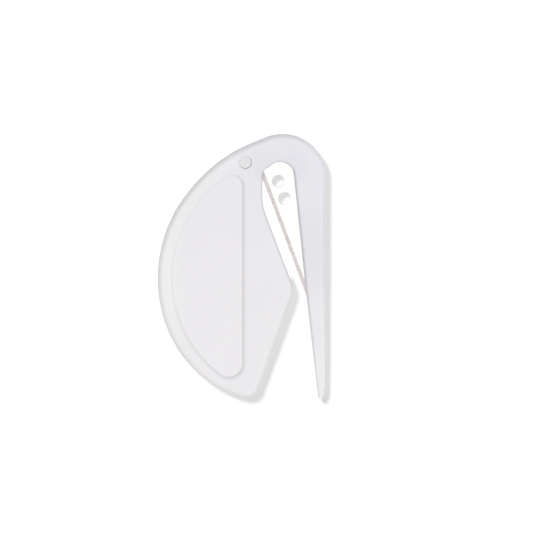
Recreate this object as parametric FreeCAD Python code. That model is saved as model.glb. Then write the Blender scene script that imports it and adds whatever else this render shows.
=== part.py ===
import FreeCAD, Part
import math
import os

# Hooked seam ripper: a one-piece plastic moulding round a fixed steel blade.
# It lies flat on its back: X across, Y from probe tip to loop, Z up through the thickness.
# Origin: centre of the plan, on the resting face.  Everything is in millimetres.

V = FreeCAD.Vector
PAST = 2.0  # how far a cutting shape runs beyond what it cuts
NEAR = 0.01  # two lengths this close are taken as equal

# --- moulding thickness ---
PLATE_T = 4.3
PROBE_TIP_T = 1.7
TAPER_START_Y = -4.0
TAPER_BLEND_R = 60.0
TAPER_FROM_X = 18.4
TIP_Y = -40.0

# --- outline: half width, and the foot of the straight outer side of the arm ---
HALF_W = 25.2
SIDE_START_Y = -36.0

# --- outline: radii (R), sweeps (A, degrees) and straight runs (LEN), plastic on the left ---
SIDE_CORNER_R, SIDE_CORNER_A = 3.0, 17.0
LOOP_R, LOOP_A = 13.3, 95.5
BROW_LEN = 5.13
SHOULDER_R, SHOULDER_A = 42.0, 16.3
UPPER_BACK_R, UPPER_BACK_A = 52.0, 15.9
BACK_R, BACK_A = 41.5, 50.8
LOWER_BACK_R, LOWER_BACK_A = 37.5, 27.8
FOOT_R, FOOT_A = 31.0, 32.0
HEEL_R, HEEL_A = 4.3, 84.5
MOUTH_LEN = 29.4
NOSE_R, NOSE_A = 5.7, 41.1
THROAT_LEN = 21.5
WINDOW_BEND_R = 18.0
WINDOW_SIDE_LEN = 5.8
LOBE_R, LOBE_A = 2.5, 68.5
KINK_R, KINK_A = 1.5, 25.9
WINDOW_TOP_R = 4.3
WINDOW_EDGE_LEN = 38.2
WINDOW_EDGE_HEADING = -84.04
ARM_BEND_R, ARM_BEND_A = 100.0, 0.74
TIP_R, TIP_A = 0.55, 144.0
TIP_SIDE_R = 7.5

# --- edge rounding, front and back; FREE edges blend from one neighbour to the next ---
ROUND_OUTER = 1.5
ROUND_WINDOW = 0.9
ROUND_TIP = 0.4
FREE = 0.0

# --- hang hole ---
HANG_X, HANG_Y = 1.15, 31.5
HANG_R = 1.77
HANG_ROUND = 0.4

# --- sunk panel: floor outline with round back, straight right side and two corners; soft lip ---
PANEL_X, PANEL_Y, PANEL_R = 15.7, -3.25, 36.35
PANEL_RIGHT_X = 0.1
PANEL_TOP_CORNER_R = 3.0
PANEL_BOTTOM_CORNER_R = 4.0
PANEL_DEPTH = 0.6
LIP_RUN = 0.6
LIP_R = 2.0

# --- ejector-pin marks on the back ---
EJECTOR_R = 2.0
EJECTOR_DEPTH = 0.12
EJECTOR_SPOTS = [(-15.5, 13.0), (-15.5, -18.0), (-3.5, 0.0), (20.8, 24.0)]

# --- blade ---
BLADE_T = 0.4
EDGE_FLAT = 0.04
EDGE_TOP_X, EDGE_TOP_Y = 7.29, 24.15
EDGE_RUN_PER_DROP = 0.3737
BEVEL_W = 1.15
BLADE_EDGE_TOP_Y = 31.0
BLADE_TOP_Y = 34.4
BLADE_TOP_LEFT_X = 7.6
BLADE_BACK_X = 22.6
BLADE_BOTTOM_Y = -10.6
BLADE_CLIP = 3.7
BLADE_HOLE_R = 1.93
BLADE_HOLES = [(11.01, 25.8), (12.93, 20.65)]
NOTCH_R = 1.3
NOTCH_YS = [16.0, 3.0]


def advance(x, y, heading, step, share=1.0):
    """Where a walker stands after the given share of one step."""
    kind, size, sweep = step[0], step[1], step[2]
    h = math.radians(heading)
    if kind == "line":
        return x + size * share * math.cos(h), y + size * share * math.sin(h), heading
    side = 1.0 if sweep > 0 else -1.0
    h2 = math.radians(heading + sweep * share)
    cx = x - side * size * math.sin(h)
    cy = y + side * size * math.cos(h)
    return cx + side * size * math.sin(h2), cy - side * size * math.cos(h2), heading + sweep * share


def outline_steps():
    """The outline as [kind, length or radius, signed sweep, edge rounding]."""
    turned = SIDE_CORNER_A + LOOP_A + SHOULDER_A + UPPER_BACK_A + BACK_A
    turned += LOWER_BACK_A + FOOT_A + HEEL_A + NOSE_A
    window_bend_a = turned - 360.0
    window_top_a = 90.0 - LOBE_A + KINK_A - WINDOW_EDGE_HEADING
    tip_side_a = 90.0 - WINDOW_EDGE_HEADING - ARM_BEND_A - TIP_A
    side = ["line", 0.0, 0.0, ROUND_OUTER]
    probe = ["line", 0.0, 0.0, FREE]
    steps = [
        side,
        ["arc", SIDE_CORNER_R, SIDE_CORNER_A, ROUND_OUTER],
        ["arc", LOOP_R, LOOP_A, ROUND_OUTER],
        ["line", BROW_LEN, 0.0, ROUND_OUTER],
        ["arc", SHOULDER_R, SHOULDER_A, ROUND_OUTER],
        ["arc", UPPER_BACK_R, UPPER_BACK_A, ROUND_OUTER],
        ["arc", BACK_R, BACK_A, ROUND_OUTER],
        ["arc", LOWER_BACK_R, LOWER_BACK_A, ROUND_OUTER],
        ["arc", FOOT_R, FOOT_A, ROUND_OUTER],
        ["arc", HEEL_R, HEEL_A, ROUND_OUTER],
        ["line", MOUTH_LEN, 0.0, ROUND_OUTER],
        ["arc", NOSE_R, NOSE_A, FREE],
        ["line", THROAT_LEN, 0.0, ROUND_WINDOW],
        ["arc", WINDOW_BEND_R, -window_bend_a, ROUND_WINDOW],
        ["line", WINDOW_SIDE_LEN, 0.0, ROUND_WINDOW],
        ["arc", LOBE_R, -LOBE_A, ROUND_WINDOW],
        ["arc", KINK_R, KINK_A, ROUND_WINDOW],
        ["arc", WINDOW_TOP_R, -window_top_a, ROUND_WINDOW],
        ["line", WINDOW_EDGE_LEN, 0.0, ROUND_WINDOW],
        ["arc", ARM_BEND_R, ARM_BEND_A, ROUND_WINDOW],
        probe,
        ["arc", TIP_R, TIP_A, ROUND_TIP],
        ["arc", TIP_SIDE_R, tip_side_a, ROUND_TIP],
    ]
    # the outer side and the probe's inner side are as long as it takes to close the loop
    x, y, heading = HALF_W, SIDE_START_Y, 90.0
    for step in steps:
        x, y, heading = advance(x, y, heading, step)
    slant = math.radians(WINDOW_EDGE_HEADING + ARM_BEND_A)
    probe[1] = (HALF_W - x) / math.cos(slant)
    side[1] = SIDE_START_Y - y - probe[1] * math.sin(slant)
    return steps


def outline_edges():
    """The outline's edges in the base plane, each with its rounding."""
    x, y, heading = HALF_W, SIDE_START_Y, 90.0
    steps = outline_steps()
    edges = []
    for step in steps:
        mx, my = advance(x, y, heading, step, 0.5)[:2]
        ex, ey, heading_after = advance(x, y, heading, step)
        if step is steps[-1]:
            ex, ey = HALF_W, SIDE_START_Y
        start, middle, end = V(x, y, 0), V(mx, my, 0), V(ex, ey, 0)
        if step[0] == "line":
            edges.append((Part.makeLine(start, end), step[3]))
        else:
            edges.append((Part.Arc(start, middle, end).toShape(), step[3]))
        x, y, heading = ex, ey, heading_after
    return edges


def taper_cutter():
    """What lies above the probe's thinning front face: flat, then an arc, then a straight slope."""
    drop = (PLATE_T - PROBE_TIP_T) / 2.0
    slope = math.atan2(drop, TAPER_START_Y - TIP_Y)
    half = TAPER_BLEND_R * math.tan(slope / 2.0)
    start_y = TAPER_START_Y + half
    centre_z = PLATE_T - TAPER_BLEND_R
    x = TAPER_FROM_X
    far_y = TIP_Y - PAST
    far_z = PLATE_T - (TAPER_START_Y - far_y) * math.tan(slope)

    def on_bend(angle):
        return V(x, start_y - TAPER_BLEND_R * math.sin(angle), centre_z + TAPER_BLEND_R * math.cos(angle))

    bend = Part.Arc(on_bend(0.0), on_bend(slope / 2.0), on_bend(slope)).toShape()
    above = PLATE_T + PAST
    rest = Part.makePolygon([on_bend(slope), V(x, far_y, far_z), V(x, far_y, above),
                             V(x, start_y, above), on_bend(0.0)])
    return Part.Face(Part.Wire([bend] + rest.Edges)).extrude(V(HALF_W + PAST - x, 0, 0))


def rounded(solid, outline):
    """Round the outline on both faces.  Edges left out blend between their neighbours."""
    doc = FreeCAD.newDocument("rounding")
    base = doc.addObject("Part::Feature", "base")
    base.Shape = solid
    chosen = []
    for number, edge in enumerate(solid.Edges, 1):
        box = edge.BoundBox
        stands_up = box.XLength < NEAR and box.YLength < NEAR
        crosses_the_arm = box.YLength < NEAR and box.ZLength < NEAR
        if stands_up or crosses_the_arm:
            continue
        middle = edge.valueAt((edge.FirstParameter + edge.LastParameter) / 2.0)
        flat = Part.Vertex(V(middle.x, middle.y, 0))
        radius = min((path.distToShape(flat)[0], size) for path, size in outline)[1]
        on_the_probe = middle.y < TAPER_START_Y + NEAR and middle.x > HALF_W - NEAR
        if radius != FREE and not on_the_probe:
            chosen.append((number, radius, radius))
    fillet = doc.addObject("Part::Fillet", "fillet")
    fillet.Base = base
    fillet.Edges = chosen
    doc.recompute()
    return fillet.Shape.copy()


def plate():
    outline = outline_edges()
    face = Part.Face(Part.Wire([edge for edge, size in outline]))
    solid = face.extrude(V(0, 0, PLATE_T))
    cutter = taper_cutter()
    back_cutter = cutter.mirror(V(0, 0, PLATE_T / 2.0), V(0, 0, 1))
    return rounded(solid.cut(cutter).cut(back_cutter), outline)


def hang_hole():
    """A round hole with rounded lips on both faces."""
    lip = HANG_R + HANG_ROUND
    drill = Part.makeCylinder(HANG_R, PLATE_T + 2 * PAST, V(HANG_X, HANG_Y, -PAST))
    for z, z_ring in ((0.0, HANG_ROUND), (PLATE_T, PLATE_T - HANG_ROUND)):
        disc = Part.makeCylinder(lip, HANG_ROUND, V(HANG_X, HANG_Y, min(z, z_ring)))
        ring = Part.makeTorus(lip, HANG_ROUND, V(HANG_X, HANG_Y, z_ring))
        drill = drill.fuse(disc.cut(ring))
    return drill


def panel_wire(grow, z):
    """The panel's D at one height, grown outwards all round."""
    big = PANEL_R + grow
    right = PANEL_RIGHT_X + grow
    corners = []
    for side, corner in ((1.0, PANEL_TOP_CORNER_R), (-1.0, PANEL_BOTTOM_CORNER_R)):
        small = corner + grow
        cx = right - small
        reach = big - small
        cy = PANEL_Y + side * math.sqrt(reach ** 2 - (PANEL_X - cx) ** 2)
        bearing = math.atan2(cy - PANEL_Y, cx - PANEL_X)
        touch = V(PANEL_X + big * math.cos(bearing), PANEL_Y + big * math.sin(bearing), z)
        middle = (bearing % math.pi if side > 0 else bearing) / 2.0
        half = V(cx + small * math.cos(middle), cy + small * math.sin(middle), z)
        corners.append((V(right, cy, z), half, touch))
    top, bottom = corners
    edges = [Part.makeLine(bottom[0], top[0]),
             Part.Arc(top[0], top[1], top[2]).toShape(),
             Part.Arc(top[2], V(PANEL_X - big, PANEL_Y, z), bottom[2]).toShape(),
             Part.Arc(bottom[2], bottom[1], bottom[0]).toShape()]
    return Part.Wire(edges)


def with_panel(solid):
    """Sink the panel into the front, and round its lip."""
    floor = panel_wire(0.0, PLATE_T - PANEL_DEPTH)
    above = panel_wire(2.0 * LIP_RUN, PLATE_T + PANEL_DEPTH)
    sunk = solid.cut(Part.makeLoft([floor, above], True, True))
    rim = panel_wire(LIP_RUN, PLATE_T)
    lip = []
    for edge in sunk.Edges:
        middle = Part.Vertex(edge.valueAt((edge.FirstParameter + edge.LastParameter) / 2.0))
        if rim.distToShape(middle)[0] < NEAR:
            lip.append(edge)
    return sunk.makeFillet(LIP_R, lip)


def ejector_marks():
    """Shallow round marks on the back, where the pins pushed the moulding out."""
    marks = [Part.makeCylinder(EJECTOR_R, EJECTOR_DEPTH, V(x, y, 0)) for x, y in EJECTOR_SPOTS]
    return Part.makeCompound(marks)


def edge_x(y):
    """Where the cutting edge crosses a given height in the plan."""
    return EDGE_TOP_X + (EDGE_TOP_Y - y) * EDGE_RUN_PER_DROP


def bevel_cutter(front):
    """Everything above the ground bevel on one face of the blade, all along the cutting edge."""
    start = V(edge_x(BLADE_BOTTOM_Y - PAST), BLADE_BOTTOM_Y - PAST, PLATE_T / 2.0)
    finish = V(edge_x(BLADE_TOP_Y + PAST), BLADE_TOP_Y + PAST, PLATE_T / 2.0)
    along = finish - start
    inward = V(along.y, -along.x, 0.0)
    inward.normalize()
    up = V(0, 0, 1.0 if front else -1.0)
    rise = (BLADE_T - EDGE_FLAT) / 2.0 / BEVEL_W

    def on_bevel(inset):
        return start + inward * inset + up * (EDGE_FLAT / 2.0 + rise * inset)

    outer = on_bevel(-PAST)
    corners = [outer, on_bevel(BEVEL_W + PAST), outer + up * PAST, outer]
    return Part.Face(Part.makePolygon(corners)).extrude(along)


def blade():
    """Flat steel: straight double-ground edge, clipped upper corners, notched hidden back."""
    low = (PLATE_T - BLADE_T) / 2.0
    plan = [(edge_x(BLADE_BOTTOM_Y), BLADE_BOTTOM_Y), (BLADE_BACK_X, BLADE_BOTTOM_Y),
            (BLADE_BACK_X, BLADE_TOP_Y - BLADE_CLIP), (BLADE_BACK_X - BLADE_CLIP, BLADE_TOP_Y),
            (BLADE_TOP_LEFT_X, BLADE_TOP_Y), (edge_x(BLADE_EDGE_TOP_Y), BLADE_EDGE_TOP_Y)]
    corners = [V(x, y, low) for x, y in plan]
    steel = Part.Face(Part.makePolygon(corners + [corners[0]])).extrude(V(0, 0, BLADE_T))
    for x, y in BLADE_HOLES:
        steel = steel.cut(Part.makeCylinder(BLADE_HOLE_R, PLATE_T, V(x, y, 0)))
    for y in NOTCH_YS:
        steel = steel.cut(Part.makeCylinder(NOTCH_R, PLATE_T, V(BLADE_BACK_X, y, 0)))
    for front in (True, False):
        steel = steel.cut(bevel_cutter(front))
    return steel


def body(steel):
    """The moulding, with the blade's own shape taken out of it."""
    solid = with_panel(plate())
    solid = solid.cut(hang_hole())
    solid = solid.cut(ejector_marks())
    return solid.cut(steel)


def single(shape):
    return shape.Solids[0] if len(shape.Solids) == 1 else shape


os.makedirs("parts", exist_ok=True)
steel = blade()
single(steel).exportStep("parts/blade.step")
single(body(steel)).exportStep("parts/body.step")
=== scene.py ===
import math

import bpy
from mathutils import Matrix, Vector


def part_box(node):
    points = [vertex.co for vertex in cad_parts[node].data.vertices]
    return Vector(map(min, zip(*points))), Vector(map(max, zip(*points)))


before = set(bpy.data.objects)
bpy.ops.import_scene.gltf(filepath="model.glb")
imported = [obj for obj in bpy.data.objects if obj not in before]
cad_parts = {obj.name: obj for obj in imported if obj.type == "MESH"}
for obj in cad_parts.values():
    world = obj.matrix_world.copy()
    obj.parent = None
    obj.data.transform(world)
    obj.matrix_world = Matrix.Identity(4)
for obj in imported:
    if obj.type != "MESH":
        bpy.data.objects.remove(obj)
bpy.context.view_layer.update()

# --- what the frame says, metres ---
BODY_LOW, BODY_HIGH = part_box("body")
BLADE_LOW, BLADE_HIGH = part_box("blade")
MIDDLE = (Vector(BODY_LOW) + Vector(BODY_HIGH)) / 2.0
LENGTH = BODY_HIGH[1] - BODY_LOW[1]
BLADE_MIDDLE_Z = (BLADE_LOW[2] + BLADE_HIGH[2]) / 2.0

# --- camera: nearly straight down, from slightly above and left of the tool ---
VIEW_WIDTH = LENGTH * 2.0
VIEW_SHIFT_X = LENGTH * 0.0943
VIEW_SHIFT_Y = LENGTH * 0.002
CAMERA_HEIGHT = 1.0
CAMERA_LEAN_X = math.radians(2.0)
CAMERA_LEAN_Y = math.radians(4.0)

# --- softboxes: watts, size, and how far each stands to the side of the tool ---
SOFTBOX_HEIGHT = 1.3
OVERHEAD, OVERHEAD_SIZE, OVERHEAD_ASIDE = 15.45, 1.6, (0.32, -0.27)
STRIP_BOX, STRIP_BOX_SIZE, STRIP_BOX_ASIDE = 11.0, 1.8, (-0.08, 0.0)
STRIP_BOX_COLOUR = (1.0, 0.995, 0.98)

# --- suns: watts per square metre, spread in degrees, and sideways lean for each unit of height ---
WRAP, WRAP_SPREAD, WRAP_LEAN = 1.15, 170.0, (0.0, 0.0)
LEFT_FILL, LEFT_FILL_SPREAD, LEFT_FILL_LEAN = 0.12, 20.0, (-6.0, 0.0)
TABLE_FILL, TABLE_FILL_SPREAD, TABLE_FILL_LEAN = 4.05, 0.5, (0.0, 0.0)
TABLE_SHADOW, TABLE_SHADOW_SPREAD, TABLE_SHADOW_LEAN = 4.2, 16.0, (-0.635, 0.73)

# --- the pale surroundings, and the small lamp over the gap ---
WORLD = 0.08
GAP_BEAM, GAP_BEAM_SPREAD = 0.0004, 1.0

# --- blade: the cutting edge's line in the plan, and the ground bevel beside it ---
EDGE_POINT = (BLADE_LOW[0] + 0.00256, BLADE_HIGH[1] - 0.01025)
EDGE_SLOPE = 0.3737
BEVEL_WIDTH = 0.00115

# --- sunk panel: centre and radius of the round side of its lip ---
PANEL_CENTRE = (MIDDLE.x + 0.0157, MIDDLE.y - 0.00325)
PANEL_RADIUS = 0.03695

# --- where the plastic is darkened to a faint grey: in the arm, and round the window's top ---
ARM_X = MIDDLE.x + 0.0165
WINDOW_TOP_LEFT_X = BLADE_LOW[0] - 0.0012
WINDOW_TOP_RIGHT_X = MIDDLE.x + 0.0195
WINDOW_TOP_Y = BLADE_HIGH[1] - 0.0084

# --- plastic colours; warm to cool white and the lit rim white are painted light and shade ---
WARM_LIT_WHITE = (0.802, 0.786, 0.803, 1)
COOL_SHADED_WHITE = (0.772, 0.764, 0.811, 1)
LIT_RIM_WHITE = (0.84, 0.84, 0.845, 1)
FAINT_GREY = (0.66, 0.65, 0.70, 1)
FLOW_CLOUD = (0.72, 0.71, 0.72, 1)
SPECK = (0.66, 0.64, 0.62, 1)
PARTING_LINE = (0.52, 0.52, 0.53, 1)

# --- steel colours ---
ROLLED_LIGHT = (0.93, 0.925, 0.915, 1)
ROLLED_DARK = (0.80, 0.79, 0.775, 1)
GROUND_LIGHT = (0.99, 0.945, 0.945, 1)
GROUND_DARK = (0.65, 0.602, 0.597, 1)
GROUND_STAIN = (0.68, 0.605, 0.59, 1)

# --- table: its tones, how far it lies under the tool, and a faint glow as of a lit sweep ---
TABLE_LIGHT = (0.372, 0.372, 0.372, 1)
TABLE_DARK = (0.370, 0.370, 0.370, 1)
TABLE_GAP = 0.00002
TABLE_GLOW = 0.43

# --- the open gap beside the cutting edge, and the lamp above it ---
GAP_WIDTH = 0.0045
GAP_LENGTH = 0.034
GAP_MIDDLE_Y = EDGE_POINT[1] - 0.0112
GAP_OFFSET_X = -0.0013
GAP_BEAM_HEIGHT = 0.12


def nodes_of(material):
    """An empty node tree."""
    material.use_nodes = True
    tree = material.node_tree
    tree.nodes.clear()
    return tree


class Builder:
    """Adds shader nodes and joins them, so that each material reads as a short list of steps."""

    def __init__(self, tree):
        self.tree = tree

    def add(self, kind, **settings):
        node = self.tree.nodes.new(kind)
        for name, value in settings.items():
            setattr(node, name, value)
        return node

    def put(self, node, name, value):
        """Set or link one input."""
        socket = node.inputs[name]
        if isinstance(value, bpy.types.NodeSocket):
            self.tree.links.new(value, socket)
        else:
            socket.default_value = value

    def maths(self, operation, a, b=0.0):
        node = self.add("ShaderNodeMath", operation=operation)
        self.put(node, 0, a)
        self.put(node, 1, b)
        return node.outputs[0]

    def stretch(self, value, low, high, to_low=0.0, to_high=1.0):
        """Map low..high smoothly to to_low..to_high, held at both ends."""
        node = self.add("ShaderNodeMapRange", interpolation_type="SMOOTHSTEP")
        self.put(node, "Value", value)
        self.put(node, "From Min", low)
        self.put(node, "From Max", high)
        self.put(node, "To Min", to_low)
        self.put(node, "To Max", to_high)
        return node.outputs["Result"]

    def noise(self, vector, scale, detail, roughness):
        node = self.add("ShaderNodeTexNoise")
        self.put(node, "Vector", vector)
        self.put(node, "Scale", scale)
        self.put(node, "Detail", detail)
        self.put(node, "Roughness", roughness)
        return node.outputs["Fac"]

    def mix(self, share, a, b):
        node = self.add("ShaderNodeMix", data_type="RGBA")
        self.put(node, 0, share)
        self.put(node, 6, a)
        self.put(node, 7, b)
        return node.outputs[2]

    def bump(self, height, distance, strength, normal=None):
        node = self.add("ShaderNodeBump")
        self.put(node, "Height", height)
        self.put(node, "Distance", distance)
        self.put(node, "Strength", strength)
        if normal is not None:
            self.put(node, "Normal", normal)
        return node.outputs["Normal"]

    def place(self):
        """Position on the object, in metres, and its X, Y and Z."""
        where = self.add("ShaderNodeTexCoord").outputs["Object"]
        split = self.add("ShaderNodeSeparateXYZ")
        self.put(split, 0, where)
        return where, split.outputs["X"], split.outputs["Y"], split.outputs["Z"]

    def finish(self, shader):
        out = self.add("ShaderNodeOutputMaterial")
        self.tree.links.new(shader.outputs["BSDF"], out.inputs["Surface"])


def lit_left_side(b, x):
    """The far left of the grip, painted a little paler as painted light."""
    return b.stretch(x, BODY_LOW[0] + 0.0022, BODY_LOW[0] + 0.0092, 1.0, 0.0)


def lit_upper_left_rim(b, x, y):
    """The rim outside the panel's round side, from the middle up to the hang hole, painted paler as painted
    light.
    """
    from_x = b.maths("SUBTRACT", x, PANEL_CENTRE[0])
    from_y = b.maths("SUBTRACT", y, PANEL_CENTRE[1])
    reach = b.maths("ADD", b.maths("MULTIPLY", from_x, from_x), b.maths("MULTIPLY", from_y, from_y))
    rim = b.stretch(b.maths("SQRT", reach), PANEL_RADIUS, PANEL_RADIUS + 0.0015)
    rim = b.maths("MULTIPLY", rim, b.stretch(x, MIDDLE.x - 0.004, MIDDLE.x + 0.002, 1.0, 0.0))
    return b.maths("MULTIPLY", rim, b.stretch(y, MIDDLE.y - 0.010, MIDDLE.y + 0.002))


def arm_grey_patch(b, x, y):
    """Where the arm is darkened to a faint grey."""
    over = b.maths("MULTIPLY", b.stretch(x, ARM_X - 0.0025, ARM_X + 0.0025),
                   b.stretch(y, BLADE_LOW[1] - 0.0014, BLADE_LOW[1] + 0.0096))
    return b.maths("MULTIPLY", over, b.stretch(y, MIDDLE.y + 0.008, MIDDLE.y + 0.024, 1.0, 0.0))


def window_top_grey_patch(b, x, y):
    """Where the plastic round the top of the window is darkened to a faint grey."""
    over = b.maths("MULTIPLY", b.stretch(x, WINDOW_TOP_LEFT_X - 0.0025, WINDOW_TOP_LEFT_X + 0.0025),
                   b.stretch(x, WINDOW_TOP_RIGHT_X - 0.0025, WINDOW_TOP_RIGHT_X + 0.0025, 1.0, 0.0))
    over = b.maths("MULTIPLY", over, b.stretch(y, WINDOW_TOP_Y - 0.002, WINDOW_TOP_Y + 0.002))
    return b.maths("MULTIPLY", over, b.stretch(y, BLADE_HIGH[1] - 0.0029, BLADE_HIGH[1] + 0.0026, 1.0, 0.0))


def plastic():
    """White satin moulded plastic: fine orange peel, faint flow clouding, a thin parting line."""
    material = bpy.data.materials.new("satin_plastic")
    b = Builder(nodes_of(material))
    where, x, y, z = b.place()
    shader = b.add("ShaderNodeBsdfPrincipled")
    clouds = b.noise(where, 55.0, 4.0, 0.55)
    specks = b.noise(where, 900.0, 2.0, 0.6)
    # painted light and shade: warm and brighter towards the lower left, cool and darker towards the upper
    # right
    cool_shade_share = b.stretch(b.maths("ADD", x, b.maths("MULTIPLY", y, 0.7)), -0.002, 0.040)
    tint = b.mix(cool_shade_share, WARM_LIT_WHITE, COOL_SHADED_WHITE)
    tint = b.mix(b.stretch(clouds, 0.3, 0.7, 0.0, 0.06), tint, FLOW_CLOUD)
    tint = b.mix(b.stretch(specks, 0.62, 0.8, 0.0, 0.05), tint, SPECK)
    # painted light: the far left of the grip and the upper-left rim are painted paler
    tint = b.mix(b.maths("MULTIPLY", lit_left_side(b, x), 0.6), tint, LIT_RIM_WHITE)
    tint = b.mix(b.maths("MULTIPLY", lit_upper_left_rim(b, x, y), 0.4), tint, LIT_RIM_WHITE)
    # a faint grey darkening over the arm and round the window's top
    tint = b.mix(b.maths("MULTIPLY", arm_grey_patch(b, x, y), 0.28), tint, FAINT_GREY)
    tint = b.mix(b.maths("MULTIPLY", window_top_grey_patch(b, x, y), 0.26), tint, FAINT_GREY)
    off_middle = b.maths("ABSOLUTE", b.maths("SUBTRACT", z, BLADE_MIDDLE_Z))
    line = b.stretch(off_middle, 0.00003, 0.00009, 1.0, 0.0)
    tint = b.mix(b.maths("MULTIPLY", line, 0.22), tint, PARTING_LINE)
    b.put(shader, "Base Color", tint)
    b.put(shader, "Roughness", b.stretch(clouds, 0.25, 0.75, 0.36, 0.46))
    b.put(shader, "Specular IOR Level", 0.45)
    peel = b.noise(where, 1500.0, 2.0, 0.5)
    waves = b.noise(where, 180.0, 2.0, 0.5)
    normal = b.bump(waves, 0.00004, 0.25)
    normal = b.bump(peel, 0.00001, 0.22, normal)
    normal = b.bump(line, 0.00003, 0.6, normal)
    b.put(shader, "Normal", normal)
    b.put(shader, "Subsurface Weight", 0.08)
    b.put(shader, "Subsurface Scale", 0.0008)
    b.put(shader, "Subsurface Radius", (1.0, 0.9, 0.85))
    b.finish(shader)
    return material


def steel():
    """Cold-rolled strip with a fine lengthwise grain, and a coarser ground bevel at the edge."""
    material = bpy.data.materials.new("ground_steel")
    b = Builder(nodes_of(material))
    where, x, y, z = b.place()
    length = math.hypot(1.0, EDGE_SLOPE)
    from_x = b.maths("SUBTRACT", x, EDGE_POINT[0])
    from_y = b.maths("SUBTRACT", y, EDGE_POINT[1])
    across = b.maths("ADD", b.maths("MULTIPLY", from_x, 1.0 / length),
                     b.maths("MULTIPLY", from_y, EDGE_SLOPE / length))
    along = b.maths("ADD", b.maths("MULTIPLY", from_x, EDGE_SLOPE / length),
                    b.maths("MULTIPLY", from_y, -1.0 / length))
    bevel = b.stretch(across, BEVEL_WIDTH * 0.96, BEVEL_WIDTH * 1.04, 1.0, 0.0)

    # the rolled grain is stretched along the edge
    rolled = b.add("ShaderNodeCombineXYZ")
    b.put(rolled, 0, b.maths("MULTIPLY", across, 60.0))
    b.put(rolled, 1, along)
    b.put(rolled, 2, z)
    grain = b.noise(rolled.outputs[0], 110.0, 4.0, 0.65)

    # the grinding scratches slant across the bevel
    ground = b.add("ShaderNodeCombineXYZ")
    b.put(ground, 0, b.maths("ADD", across, b.maths("MULTIPLY", along, 0.9)))
    slanted = b.maths("SUBTRACT", along, b.maths("MULTIPLY", across, 0.55))
    b.put(ground, 1, b.maths("MULTIPLY", slanted, 9.0))
    b.put(ground, 2, z)
    scratches = b.noise(ground.outputs[0], 700.0, 4.0, 0.7)
    blotches = b.noise(where, 900.0, 3.0, 0.6)

    flat = b.mix(b.stretch(grain, 0.3, 0.7, 0.0, 0.25), ROLLED_LIGHT, ROLLED_DARK)
    grind = b.mix(b.stretch(scratches, 0.35, 0.65), GROUND_DARK, GROUND_LIGHT)
    grind = b.mix(b.stretch(blotches, 0.45, 0.65, 0.0, 0.7), grind, GROUND_STAIN)
    shader = b.add("ShaderNodeBsdfPrincipled")
    b.put(shader, "Base Color", b.mix(bevel, flat, grind))
    b.put(shader, "Metallic", b.maths("SUBTRACT", 1.0, b.maths("MULTIPLY", bevel, 0.15)))
    b.put(shader, "Roughness", b.maths("ADD", 0.24, b.maths("MULTIPLY", bevel, 0.18)))
    rough = b.bump(grain, 0.000004, 0.5)
    cut = b.bump(b.maths("MULTIPLY", scratches, bevel), 0.00001, 0.8, rough)
    b.put(shader, "Normal", cut)
    b.finish(shader)
    return material


def table_top():
    """Plain pale table with a very faint drift in its tone.  Its glow keeps deep shadows grey."""
    material = bpy.data.materials.new("pale_table")
    b = Builder(nodes_of(material))
    where = b.place()[0]
    shader = b.add("ShaderNodeBsdfPrincipled")
    drift = b.noise(where, 8.0, 2.0, 0.5)
    b.put(shader, "Base Color", b.mix(drift, TABLE_DARK, TABLE_LIGHT))
    b.put(shader, "Roughness", 0.9)
    b.put(shader, "Specular IOR Level", 0.0)
    b.put(shader, "Emission Color", TABLE_LIGHT)
    b.put(shader, "Emission Strength", TABLE_GLOW)
    b.finish(shader)
    return material


def dress(name, material):
    """Give one CAD node its material."""
    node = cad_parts[name]
    node.data.materials.clear()
    node.data.materials.append(material)


def floor():
    """The table, just under the tool."""
    place = (MIDDLE.x, MIDDLE.y, BODY_LOW[2] - TABLE_GAP)
    bpy.ops.mesh.primitive_plane_add(size=LENGTH * 30, location=place)
    plane = bpy.context.object
    plane.name = "table"
    plane.data.materials.append(table_top())
    return plane


def aim(thing):
    """Turn a lamp towards the foot of the tool's middle."""
    target = Vector((MIDDLE.x, MIDDLE.y, 0.0))
    thing.rotation_euler = (target - thing.location).to_track_quat("-Z", "Y").to_euler()


def group(name, *objects):
    """A collection that says which objects one lamp lights."""
    lit = bpy.data.collections.new(name)
    bpy.context.scene.collection.children.link(lit)
    for thing in objects:
        lit.objects.link(thing)
    return lit


def lamp(name, kind, place, energy, lights, colour=(1, 1, 1)):
    data = bpy.data.lights.new(name, kind)
    data.energy = energy
    data.color = colour
    thing = bpy.data.objects.new(name, data)
    bpy.context.collection.objects.link(thing)
    thing.location = place
    aim(thing)
    thing.light_linking.receiver_collection = lights
    return thing


def softbox(name, aside, size, energy, lights, colour=(1, 1, 1)):
    """A square lamp overhead, moved aside by so much, that faces the tool."""
    place = (MIDDLE.x + aside[0], MIDDLE.y + aside[1], SOFTBOX_HEIGHT)
    box = lamp(name, "AREA", place, energy, lights, colour)
    box.data.shape = "SQUARE"
    box.data.size = size


def sun(name, lean, spread, energy, lights):
    """A parallel light that comes from so far sideways for each unit of height."""
    rays = lamp(name, "SUN", (MIDDLE.x + lean[0], MIDDLE.y + lean[1], 1.0), energy, lights)
    rays.data.angle = math.radians(spread)


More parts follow.
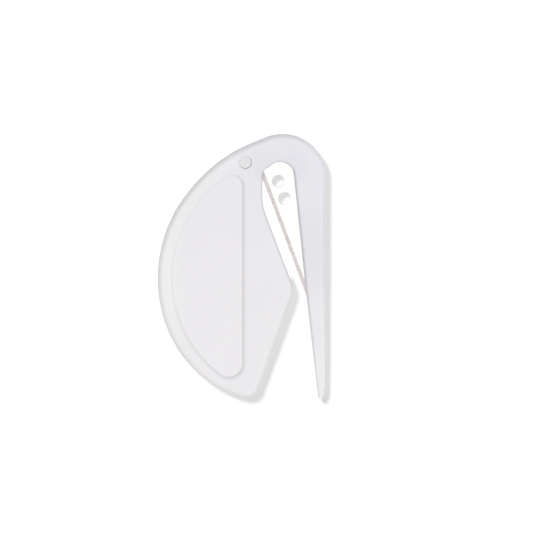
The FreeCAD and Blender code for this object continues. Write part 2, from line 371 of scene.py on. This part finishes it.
def gap_beam(lights):
    """A narrow lamp straight above that shines through the gap beside the cutting edge."""
    beam = lamp("gap_beam", "AREA", (0, 0, 0), GAP_BEAM, lights)
    beam.data.shape = "RECTANGLE"
    beam.data.size = GAP_WIDTH
    beam.data.size_y = GAP_LENGTH
    beam.data.spread = math.radians(GAP_BEAM_SPREAD)
    beam.visible_camera = False
    edge_x = EDGE_POINT[0] + (EDGE_POINT[1] - GAP_MIDDLE_Y) * EDGE_SLOPE
    beam.location = (edge_x + GAP_OFFSET_X, GAP_MIDDLE_Y, GAP_BEAM_HEIGHT)
    beam.rotation_euler = (0.0, 0.0, math.atan(EDGE_SLOPE))


def studio(table):
    """Each lamp lights one thing, so that table, plastic and steel keep their own tones."""
    world = bpy.data.worlds.new("studio")
    bpy.context.scene.world = world
    world.use_nodes = True
    back = world.node_tree.nodes["Background"]
    back.inputs["Color"].default_value = (1.0, 1.0, 1.0, 1)
    back.inputs["Strength"].default_value = WORLD
    moulding = group("lit_moulding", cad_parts["body"])
    strip = group("lit_strip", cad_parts["blade"])
    top = group("lit_table", table)
    softbox("overhead", OVERHEAD_ASIDE, OVERHEAD_SIZE, OVERHEAD, moulding)
    sun("wrap", WRAP_LEAN, WRAP_SPREAD, WRAP, moulding)
    sun("left_fill", LEFT_FILL_LEAN, LEFT_FILL_SPREAD, LEFT_FILL, moulding)
    softbox("strip_box", STRIP_BOX_ASIDE, STRIP_BOX_SIZE, STRIP_BOX, strip, STRIP_BOX_COLOUR)
    sun("table_fill", TABLE_FILL_LEAN, TABLE_FILL_SPREAD, TABLE_FILL, top)
    sun("table_shadow", TABLE_SHADOW_LEAN, TABLE_SHADOW_SPREAD, TABLE_SHADOW, top)
    gap_beam(top)


def camera():
    """Looks down at the blade's level, from a little above and to the left."""
    data = bpy.data.cameras.new("camera")
    data.lens = data.sensor_width * CAMERA_HEIGHT / VIEW_WIDTH
    data.clip_start = 0.01
    eye = bpy.data.objects.new("camera", data)
    bpy.context.collection.objects.link(eye)
    centre_x = MIDDLE.x + VIEW_SHIFT_X
    centre_y = MIDDLE.y + VIEW_SHIFT_Y
    eye.location = (centre_x - CAMERA_HEIGHT * math.tan(CAMERA_LEAN_X),
                    centre_y + CAMERA_HEIGHT * math.tan(CAMERA_LEAN_Y),
                    BLADE_MIDDLE_Z + CAMERA_HEIGHT)
    eye.rotation_euler = (-CAMERA_LEAN_Y, -CAMERA_LEAN_X, 0)
    bpy.context.scene.camera = eye


dress("body", plastic())
dress("blade", steel())
plane = floor()
studio(plane)
camera()
bpy.context.scene.view_settings.view_transform = "Standard"
